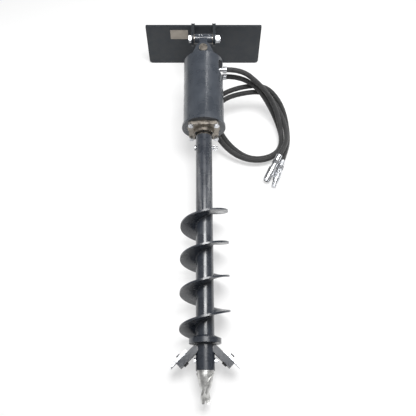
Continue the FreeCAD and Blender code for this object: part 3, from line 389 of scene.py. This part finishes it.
LOOKS = {
    "plate_paint": dict(colour=(0.006, 0.009, 0.013), rough=0.5, clouds=0.5, wear_and_glint_amount=0.35,
                        grain=0.25, grain_scale=420),
    "hood_paint": dict(colour=(0.032, 0.038, 0.048), rough=0.32, coat=0.2, clouds=0.25, cloud_scale=14,
                       wear_and_glint_amount=0.45, grain=0.12, grain_scale=500),
    "auger_paint": dict(colour=(0.019, 0.023, 0.031), rough=0.30, coat=0.3, clouds=0.35, cloud_scale=22,
                        wear_and_glint_amount=0.6, grain=0.15, grain_scale=600),
    "zinc_steel": dict(colour=(0.50, 0.51, 0.53), rough=0.26, metal=0.9, clouds=0.25, cloud_scale=120,
                       grain=0.2, grain_scale=1500),
    # Machined steel: the dark brown colour is oil plus painted shade of its shaded faces, and the
    # bright bare edges at full wear are wear plus painted highlights on the corners.
    "machined_steel": dict(colour=(0.20, 0.18, 0.155), rough=0.34, metal=0.8, clouds=0.6,
                           cloud_scale=45, wear_and_glint_amount=1.0, bare_and_glint=(0.75, 0.74, 0.72), grain=0.3,
                           grain_scale=900, stretch=(1, 0.1, 1)),
    "motor_cast": dict(colour=(0.008, 0.008, 0.009), rough=0.5, clouds=0.5, grain=0.5, grain_scale=300),
    "black_steel": dict(colour=(0.02, 0.02, 0.021), rough=0.38, metal=0.6, clouds=0.3),
    "bronze_bush": dict(colour=(0.50, 0.30, 0.10), rough=0.35, metal=0.9, clouds=0.3),
    "cast_bit": dict(colour=(0.46, 0.46, 0.45), rough=0.40, metal=0.85, clouds=0.6, cloud_scale=60,
                     grain=0.5, grain_scale=420),
    "seal_rubber": dict(colour=(0.012, 0.012, 0.012), rough=0.6, clouds=0.3),
    "data_plate": dict(colour=(0.24, 0.215, 0.185), rough=0.42, metal=0.35, clouds=0.35, cloud_scale=26,
                       grain=0.3, grain_scale=1800, stretch=(0.04, 1, 1)),
}
finishes = {name: finish_of(name, **look) for name, look in LOOKS.items()}
print(len(finishes), "finishes")

# %% [markdown]
# ## Woven hose sleeve
# The hoses wear a tight nylon sleeve. Its weave follows the hose, so the pattern reads the
# tube's own map: one direction along it and one round it. Two slanting waves crossed give
# the diamond of the plait, and a slow noise makes the dusty, paler patches.

# %% Sleeve material
STRANDS_ROUND, STRAND_PITCH = 14.0, 0.005


def sleeve_finish(name, along_count):
    material = bpy.data.materials.new(name)
    material.use_nodes = True
    tree = material.node_tree
    shader = tree.nodes["Principled BSDF"]
    place = node(tree, "ShaderNodeTexCoord")
    waves = []
    for slant in (1, -1):
        shape = node(tree, "ShaderNodeMapping", Scale=(along_count, STRANDS_ROUND * slant, 1))
        tree.links.new(place.outputs["UV"], shape.inputs["Vector"])
        split = node(tree, "ShaderNodeSeparateXYZ")
        tree.links.new(shape.outputs["Vector"], split.inputs[0])
        total = node(tree, "ShaderNodeMath", operation="ADD")
        tree.links.new(split.outputs[0], total.inputs[0])
        tree.links.new(split.outputs[1], total.inputs[1])
        turn = node(tree, "ShaderNodeMath", operation="MULTIPLY")
        tree.links.new(total.outputs[0], turn.inputs[0])
        turn.inputs[1].default_value = 2 * math.pi
        wave = node(tree, "ShaderNodeMath", operation="SINE")
        tree.links.new(turn.outputs[0], wave.inputs[0])
        waves.append(wave)
    weave = node(tree, "ShaderNodeMath", operation="MULTIPLY")
    tree.links.new(waves[0].outputs[0], weave.inputs[0])
    tree.links.new(waves[1].outputs[0], weave.inputs[1])
    height = ramp(tree, weave.outputs[0], low=-1.0, high=1.0)
    tone = add_group(tree, cloudy, Colour=(0.011, 0.011, 0.0115, 1), Scale=40.0, Amount=0.9)
    paler = node(tree, "ShaderNodeMix", data_type="RGBA")
    tree.links.new(ramp(tree, weave.outputs[0], 0.2, 1.0, 0.0, 0.55), paler.inputs["Factor"])
    tree.links.new(tone.outputs["Colour"], paler.inputs[MIX_A])
    paler.inputs[MIX_B].default_value = (0.045, 0.045, 0.046, 1)
    tree.links.new(paler.outputs[MIX_RESULT], shader.inputs["Base Color"])
    shader.inputs["Roughness"].default_value = 0.62
    shader.inputs["Sheen Weight"].default_value = 0.15
    bump = node(tree, "ShaderNodeBump", Strength=0.6, Distance=0.0009)
    tree.links.new(height, bump.inputs["Height"])
    tree.links.new(bump.outputs["Normal"], shader.inputs["Normal"])
    return material


for name, hose in hoses.items():
    strands_along = line_length(centre_lines[name]) / STRAND_PITCH
    hose.data.materials.append(sleeve_finish(name + "_weave", strands_along))

# %% Give every CAD node its finish
slot_of = {part["node"]: part["material_slot"] for part in frame["record"]["subparts"]}
for name, part in nodes.items():
    if slot_of[name] in finishes:
        part.data.materials.clear()
        part.data.materials.append(finishes[slot_of[name]])
print(len(nodes), "nodes dressed")


# %% [markdown]
# ## Data plate
# A thin metal plate is riveted to the mount plate's front. It is left bare. A bevelled
# sheet with four low rivets is enough, and Geometry Nodes place the rivets from a size.

# %% Helpers for meshes and rivets
def mesh_piece(name, build, body, finish, bevel=0.0):
    """A piece from bmesh code, placed in its mesh, with soft edges."""
    shape = bmesh.new()
    build(shape)
    bmesh.ops.recalc_face_normals(shape, faces=shape.faces)
    mesh = bpy.data.meshes.new(name)
    shape.to_mesh(mesh)
    shape.free()
    piece = bpy.data.objects.new(name, mesh)
    bpy.context.scene.collection.objects.link(piece)
    mesh.materials.append(finishes[finish])
    if bevel:
        soft = piece.modifiers.new("soft_edges", "BEVEL")
        soft.width, soft.segments = bevel, 3
    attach(piece, body)
    return piece


def box_in(shape, low, high):
    size = [b - a for a, b in zip(low, high)]
    centre = [(a + b) / 2 for a, b in zip(low, high)]
    place = Matrix.Translation(centre) @ Matrix.Diagonal((*size, 1))
    bmesh.ops.create_cube(shape, size=1.0, matrix=place)


PLATE_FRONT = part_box("mount_plate")[0].y
LABEL_LEFT, LABEL_RIGHT, LABEL_LOW, LABEL_HIGH, LABEL_T = -0.180, -0.084, 0.046, 0.108, 0.0012
LABEL_BEVEL = 0.0004
mesh_piece("data_plate", lambda shape: box_in(
    shape, (LABEL_LEFT, PLATE_FRONT - LABEL_T, LABEL_LOW), (LABEL_RIGHT, PLATE_FRONT, LABEL_HIGH)),
    "frame", "data_plate", LABEL_BEVEL)


# %% Beads and rivets by Geometry Nodes
def dots_tree(name, radius_of_dot):
    """Round dots at every vertex of the guide mesh, made real and given a material."""
    tree = bpy.data.node_groups.new(name, "GeometryNodeTree")
    tree.interface.new_socket("Guide", in_out="INPUT", socket_type="NodeSocketGeometry")
    size = tree.interface.new_socket("Dot radius", in_out="INPUT", socket_type="NodeSocketFloat")
    coat = tree.interface.new_socket("Finish", in_out="INPUT", socket_type="NodeSocketMaterial")
    tree.interface.new_socket("Dots", in_out="OUTPUT", socket_type="NodeSocketGeometry")
    size.default_value = radius_of_dot
    enter, leave = tree.nodes.new("NodeGroupInput"), tree.nodes.new("NodeGroupOutput")
    ball = tree.nodes.new("GeometryNodeMeshIcoSphere")
    ball.inputs["Subdivisions"].default_value = 2
    place = tree.nodes.new("GeometryNodeInstanceOnPoints")
    real = tree.nodes.new("GeometryNodeRealizeInstances")
    paint = tree.nodes.new("GeometryNodeSetMaterial")
    tree.links.new(enter.outputs["Dot radius"], ball.inputs["Radius"])
    tree.links.new(enter.outputs["Guide"], place.inputs["Points"])
    tree.links.new(ball.outputs["Mesh"], place.inputs["Instance"])
    tree.links.new(place.outputs["Instances"], real.inputs["Geometry"])
    tree.links.new(real.outputs["Geometry"], paint.inputs["Geometry"])
    tree.links.new(enter.outputs["Finish"], paint.inputs["Material"])
    tree.links.new(paint.outputs["Geometry"], leave.inputs["Dots"])
    return tree, size.identifier, coat.identifier


dots, size_key, coat_key = dots_tree("dots_on_points", 0.002)


def dotted(name, points, radius, body, finish):
    mesh = bpy.data.meshes.new(name + ".guide")
    mesh.from_pydata([tuple(p) for p in points], [], [])
    guide = bpy.data.objects.new(name + ".guide", mesh)
    bpy.context.scene.collection.objects.link(guide)
    modifier = guide.modifiers.new("dots", "NODES")
    modifier.node_group = dots
    modifier[size_key] = radius
    modifier[coat_key] = finishes[finish]
    bpy.context.view_layer.update()
    made = bpy.data.meshes.new_from_object(guide.evaluated_get(bpy.context.evaluated_depsgraph_get()))
    bpy.data.objects.remove(guide)
    made.shade_smooth()
    piece = bpy.data.objects.new(name, made)
    bpy.context.scene.collection.objects.link(piece)
    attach(piece, body)
    return piece


RIVET_INSET, RIVET_R = 0.006, 0.0018
rivets = [(x, PLATE_FRONT - LABEL_T, z) for x in (LABEL_LEFT + RIVET_INSET, LABEL_RIGHT - RIVET_INSET)
          for z in (LABEL_LOW + RIVET_INSET, LABEL_HIGH - RIVET_INSET)]
dotted("data_plate_rivets", rivets, RIVET_R, "frame", "zinc_steel")

# %% [markdown]
# ## Weld beads
# Plates and tubes on the real drive are joined by weld beads: rows of overlapping drops.
# Small balls set closely along each joint give that ripple, under the same paint.

# %% Weld beads
WELD_STEP = 0.0028                      # from one drop to the next in a straight row
EAR_BEAD, HANGER_BEAD, RING_BEAD, FLIGHT_BEAD = 0.0032, 0.003, 0.0028, 0.0024
EAR_ROOT_LOW, EAR_ROOT_HIGH = HITCH.z - 0.103, HITCH.z - 0.007
HANGER_HALF, HANGER_FACES = 0.062, (0.0353, 0.0503, -0.0353, -0.0503)
HOOD_R, HOOD_TOP, HOOD_END, RING_DROPS = 0.0975, 0.153, 0.523, 230
FLIGHT_TOP_S, FLIGHT_LOW_S, FLIGHT_PITCH, FLIGHT_AT_X = 0.921, 1.4997, 0.1487, 0.958
TUBE_R, FLIGHT_T, FLIGHT_DROPS = 0.038, 0.008, 420


def row_between(a, b, step):
    count = max(2, int((b - a).length / step))
    return [a.lerp(b, k / count) for k in range(count + 1)]


def ring_points(radius, s, count):
    turns = [2 * math.pi * k / count for k in range(count)]
    return [drive_point(radius * math.cos(a), radius * math.sin(a), s) for a in turns]


ear_welds = []
for side in ("left", "right"):
    low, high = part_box("hitch_ear_" + side)
    for x in (low.x, high.x):
        ear_welds += row_between(Vector((x, PLATE_FRONT, EAR_ROOT_LOW)),
                                 Vector((x, PLATE_FRONT, EAR_ROOT_HIGH)), WELD_STEP)
dotted("hitch_welds", ear_welds, EAR_BEAD, "frame", "plate_paint")

hanger_welds = []
for y in HANGER_FACES:
    hanger_welds += row_between(drive_point(-HANGER_HALF, y, HOOD_TOP),
                                drive_point(HANGER_HALF, y, HOOD_TOP), WELD_STEP)
dotted("hanger_welds", hanger_welds, HANGER_BEAD, "drive", "hood_paint")

ring_weld = ring_points(HOOD_R, HOOD_END, RING_DROPS)
dotted("hood_ring_weld", ring_weld, RING_BEAD, "drive", "hood_paint")

flight_weld = []
for offset in (0.0, FLIGHT_T):
    for k in range(FLIGHT_DROPS):
        s = FLIGHT_TOP_S + (FLIGHT_LOW_S - FLIGHT_TOP_S) * k / FLIGHT_DROPS
        turn = 2 * math.pi * (s - FLIGHT_AT_X) / FLIGHT_PITCH
        flight_weld.append(drive_point(TUBE_R * math.cos(turn), TUBE_R * math.sin(turn), s + offset))
dotted("flight_welds", flight_weld, FLIGHT_BEAD, "auger", "auger_paint")
print("weld drops", len(ear_welds) + len(hanger_welds) + len(flight_weld))

# %% [markdown]
# ## Floor and light
# A pale floor catches the soft shadows. The light is a broad ceiling of cloth, with two long
# strips low at the sides and one over the hood, which draw the bright lines along the tube
# and the hood.

# %% Floor
floor_mesh = bpy.data.meshes.new("floor")
FLOOR_HALF, GLOW_SHARE = 14.0, 0.5
corners = [(x * FLOOR_HALF, y * FLOOR_HALF, GROUND) for x, y in ((-1, -1), (1, -1), (1, 1), (-1, 1))]
floor_mesh.from_pydata(corners, [], [(0, 1, 2, 3)])
floor = bpy.data.objects.new("floor", floor_mesh)
bpy.context.scene.collection.objects.link(floor)
pale = bpy.data.materials.new("pale_floor")
pale.use_nodes = True
tree = pale.node_tree
shader = tree.nodes["Principled BSDF"]
shader.inputs["Base Color"].default_value = (0.9, 0.9, 0.9, 1)
shader.inputs["Roughness"].default_value = 0.9
shader.inputs["Specular IOR Level"].default_value = 0.0
glow = node(tree, "ShaderNodeEmission", Color=(1, 1, 1, 1), Strength=1.0)
rays = node(tree, "ShaderNodeLightPath")
share = node(tree, "ShaderNodeMath", operation="MULTIPLY")
tree.links.new(rays.outputs["Is Camera Ray"], share.inputs[0])
share.inputs[1].default_value = GLOW_SHARE
blend = node(tree, "ShaderNodeMixShader")
tree.links.new(share.outputs[0], blend.inputs[0])
tree.links.new(shader.outputs[0], blend.inputs[1])
tree.links.new(glow.outputs[0], blend.inputs[2])
tree.links.new(blend.outputs[0], tree.nodes["Material Output"].inputs["Surface"])
floor_mesh.materials.append(pale)


# %% Lights and world
def soft_light(name, at, towards, size, power):
    data = bpy.data.lights.new(name, "AREA")
    data.shape = "RECTANGLE"
    data.size, data.size_y, data.energy = size[0], size[1], power
    lamp = bpy.data.objects.new(name, data)
    lamp.location = at
    aim = Vector(towards) - Vector(at)
    lamp.rotation_euler = aim.to_track_quat("-Z", "Y").to_euler()
    bpy.context.scene.collection.objects.link(lamp)


soft_light("ceiling", (0.35, -0.9, 3.0), (0, -0.9, 0), (1.2, 1.6), 105)
soft_light("hood_strip", (0.78, 1.05, 1.65), (0, -0.45, 0.12), (0.16, 1.5), 9)
soft_light("left_strip", (-1.56, -0.3, 0.95), (0, -1.2, 0.03), (0.16, 1.9), 7)
soft_light("right_strip", (1.56, -0.3, 0.95), (0, -1.2, 0.03), (0.16, 1.9), 7)
world = bpy.data.worlds.new("studio")
world.use_nodes = True
world.node_tree.nodes["Background"].inputs["Color"].default_value = (1, 1, 1, 1)
world.node_tree.nodes["Background"].inputs["Strength"].default_value = 0.3
bpy.context.scene.world = world
bpy.context.scene.view_settings.view_transform = "Standard"
